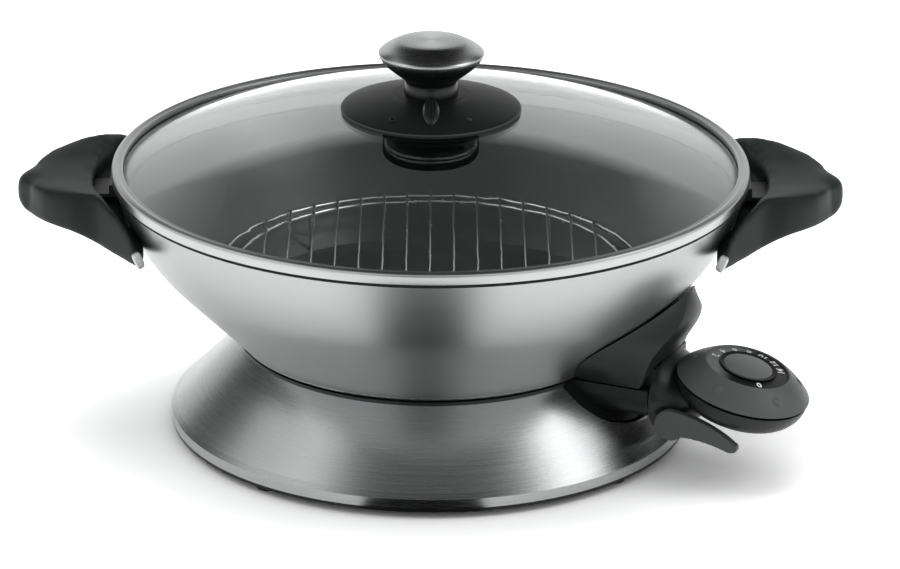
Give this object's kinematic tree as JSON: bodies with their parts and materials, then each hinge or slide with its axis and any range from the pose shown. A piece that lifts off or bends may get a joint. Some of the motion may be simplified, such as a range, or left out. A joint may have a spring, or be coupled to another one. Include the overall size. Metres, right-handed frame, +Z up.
{
  "type": "electric wok",
  "caption": "Electric wok with a steel base, lift-off two-handled pan, glass lid with a steam vent, wire rack and plug-in temperature probe with a dial.",
  "frame": {"origin": "on the surface that the feet stand on, under the middle of the pan", "axes": "+X from handle to handle, +Z up; the temperature probe leaves the pan 24 degrees from +X towards -Y"},
  "size_m": [0.4618, 0.356, 0.2262],
  "materials": {
    "brushed_steel": "brushed",
    "bright_steel": "polished",
    "rack_steel": "polished",
    "non_stick": "satin non-stick coating",
    "cast_aluminium": "as pressed",
    "clear_glass": "polished",
    "black_plastic": "satin",
    "handle_plastic": "satin phenolic",
    "grey_plastic": "satin",
    "foot_rubber": "matt",
    "seal_silicone": "matt silicone",
    "contact_brass": "satin",
    "element_steel": "heat-darkened sheath",
    "fastener_steel": "zinc plated"
  },
  "bodies": {
    "base": {"base_cone": "brushed_steel", "base_deck": "black_plastic", "base_floor": "black_plastic", "rubber_feet": "foot_rubber", "base_screws": "fastener_steel", "probe_cradle": "black_plastic"},
    "pan": {"bowl_skin": "brushed_steel", "wok_bowl": "non_stick", "bottom_cover": "cast_aluminium", "heating_element": "element_steel", "terminal_pins": "contact_brass", "sensor_tube": "fastener_steel", "probe_shroud": "black_plastic", "handle_right": "handle_plastic", "handle_left": "handle_plastic", "handle_bracket_right": "bright_steel", "handle_bracket_left": "bright_steel", "handle_screws": "fastener_steel"},
    "lid": {"lid_glass": "clear_glass", "lid_band": "bright_steel", "lid_seal": "seal_silicone", "vent_disc": "black_plastic", "vent_boss": "black_plastic", "knob_body": "black_plastic", "knob_cap": "brushed_steel", "lid_screw": "fastener_steel"},
    "vent": {"vent_ring": "black_plastic", "vent_pin": "fastener_steel", "vent_shutter": "black_plastic"},
    "rack": {"rack_rings": "rack_steel", "rack_wires": "rack_steel", "rack_legs": "rack_steel"},
    "probe": {"probe_body": "black_plastic", "sensor_rod": "bright_steel", "contact_sleeves": "contact_brass", "cord_gland": "foot_rubber", "lever_pin": "fastener_steel"},
    "dial": {"dial_dome": "grey_plastic", "dial_ring": "black_plastic", "dial_cap": "grey_plastic", "dial_shaft": "fastener_steel"},
    "lever": {"eject_lever": "grey_plastic"}
  },
  "joints": [
    {"name": "pan_lift", "type": "slide", "parent": "base", "child": "pan", "axis": [0, 0, 1], "range_m": [0, 0.08]},
    {"name": "lid_lift", "type": "slide", "parent": "pan", "child": "lid", "axis": [0, 0, 1], "range_m": [0, 0.12]},
    {"name": "rack_lift", "type": "slide", "parent": "pan", "child": "rack", "axis": [0, 0, 1], "range_m": [0, 0.045]},
    {"name": "vent_turn", "type": "hinge", "parent": "lid", "child": "vent", "pos_m": [0, 0, 0.195], "axis": [0, 0, 1], "range_deg": [-24, 24]},
    {"name": "probe_pull", "type": "slide", "parent": "pan", "child": "probe", "axis": [0.9135, -0.4067, 0], "range_m": [0, 0.1]},
    {"name": "dial_turn", "type": "hinge", "parent": "probe", "child": "dial", "pos_m": [0.17266, -0.07687, 0.0517], "axis": [0.2241, -0.0998, 0.9694], "range_deg": [0, 290]},
    {"name": "eject_press", "type": "hinge", "parent": "probe", "child": "lever", "pos_m": [0.13244, -0.09345, 0.035], "axis": [0.4067, 0.9135, 0], "range_deg": [0, 25], "stiffness_Nm_per_rad": 0.02, "springref_deg": -11.46}
  ]
}
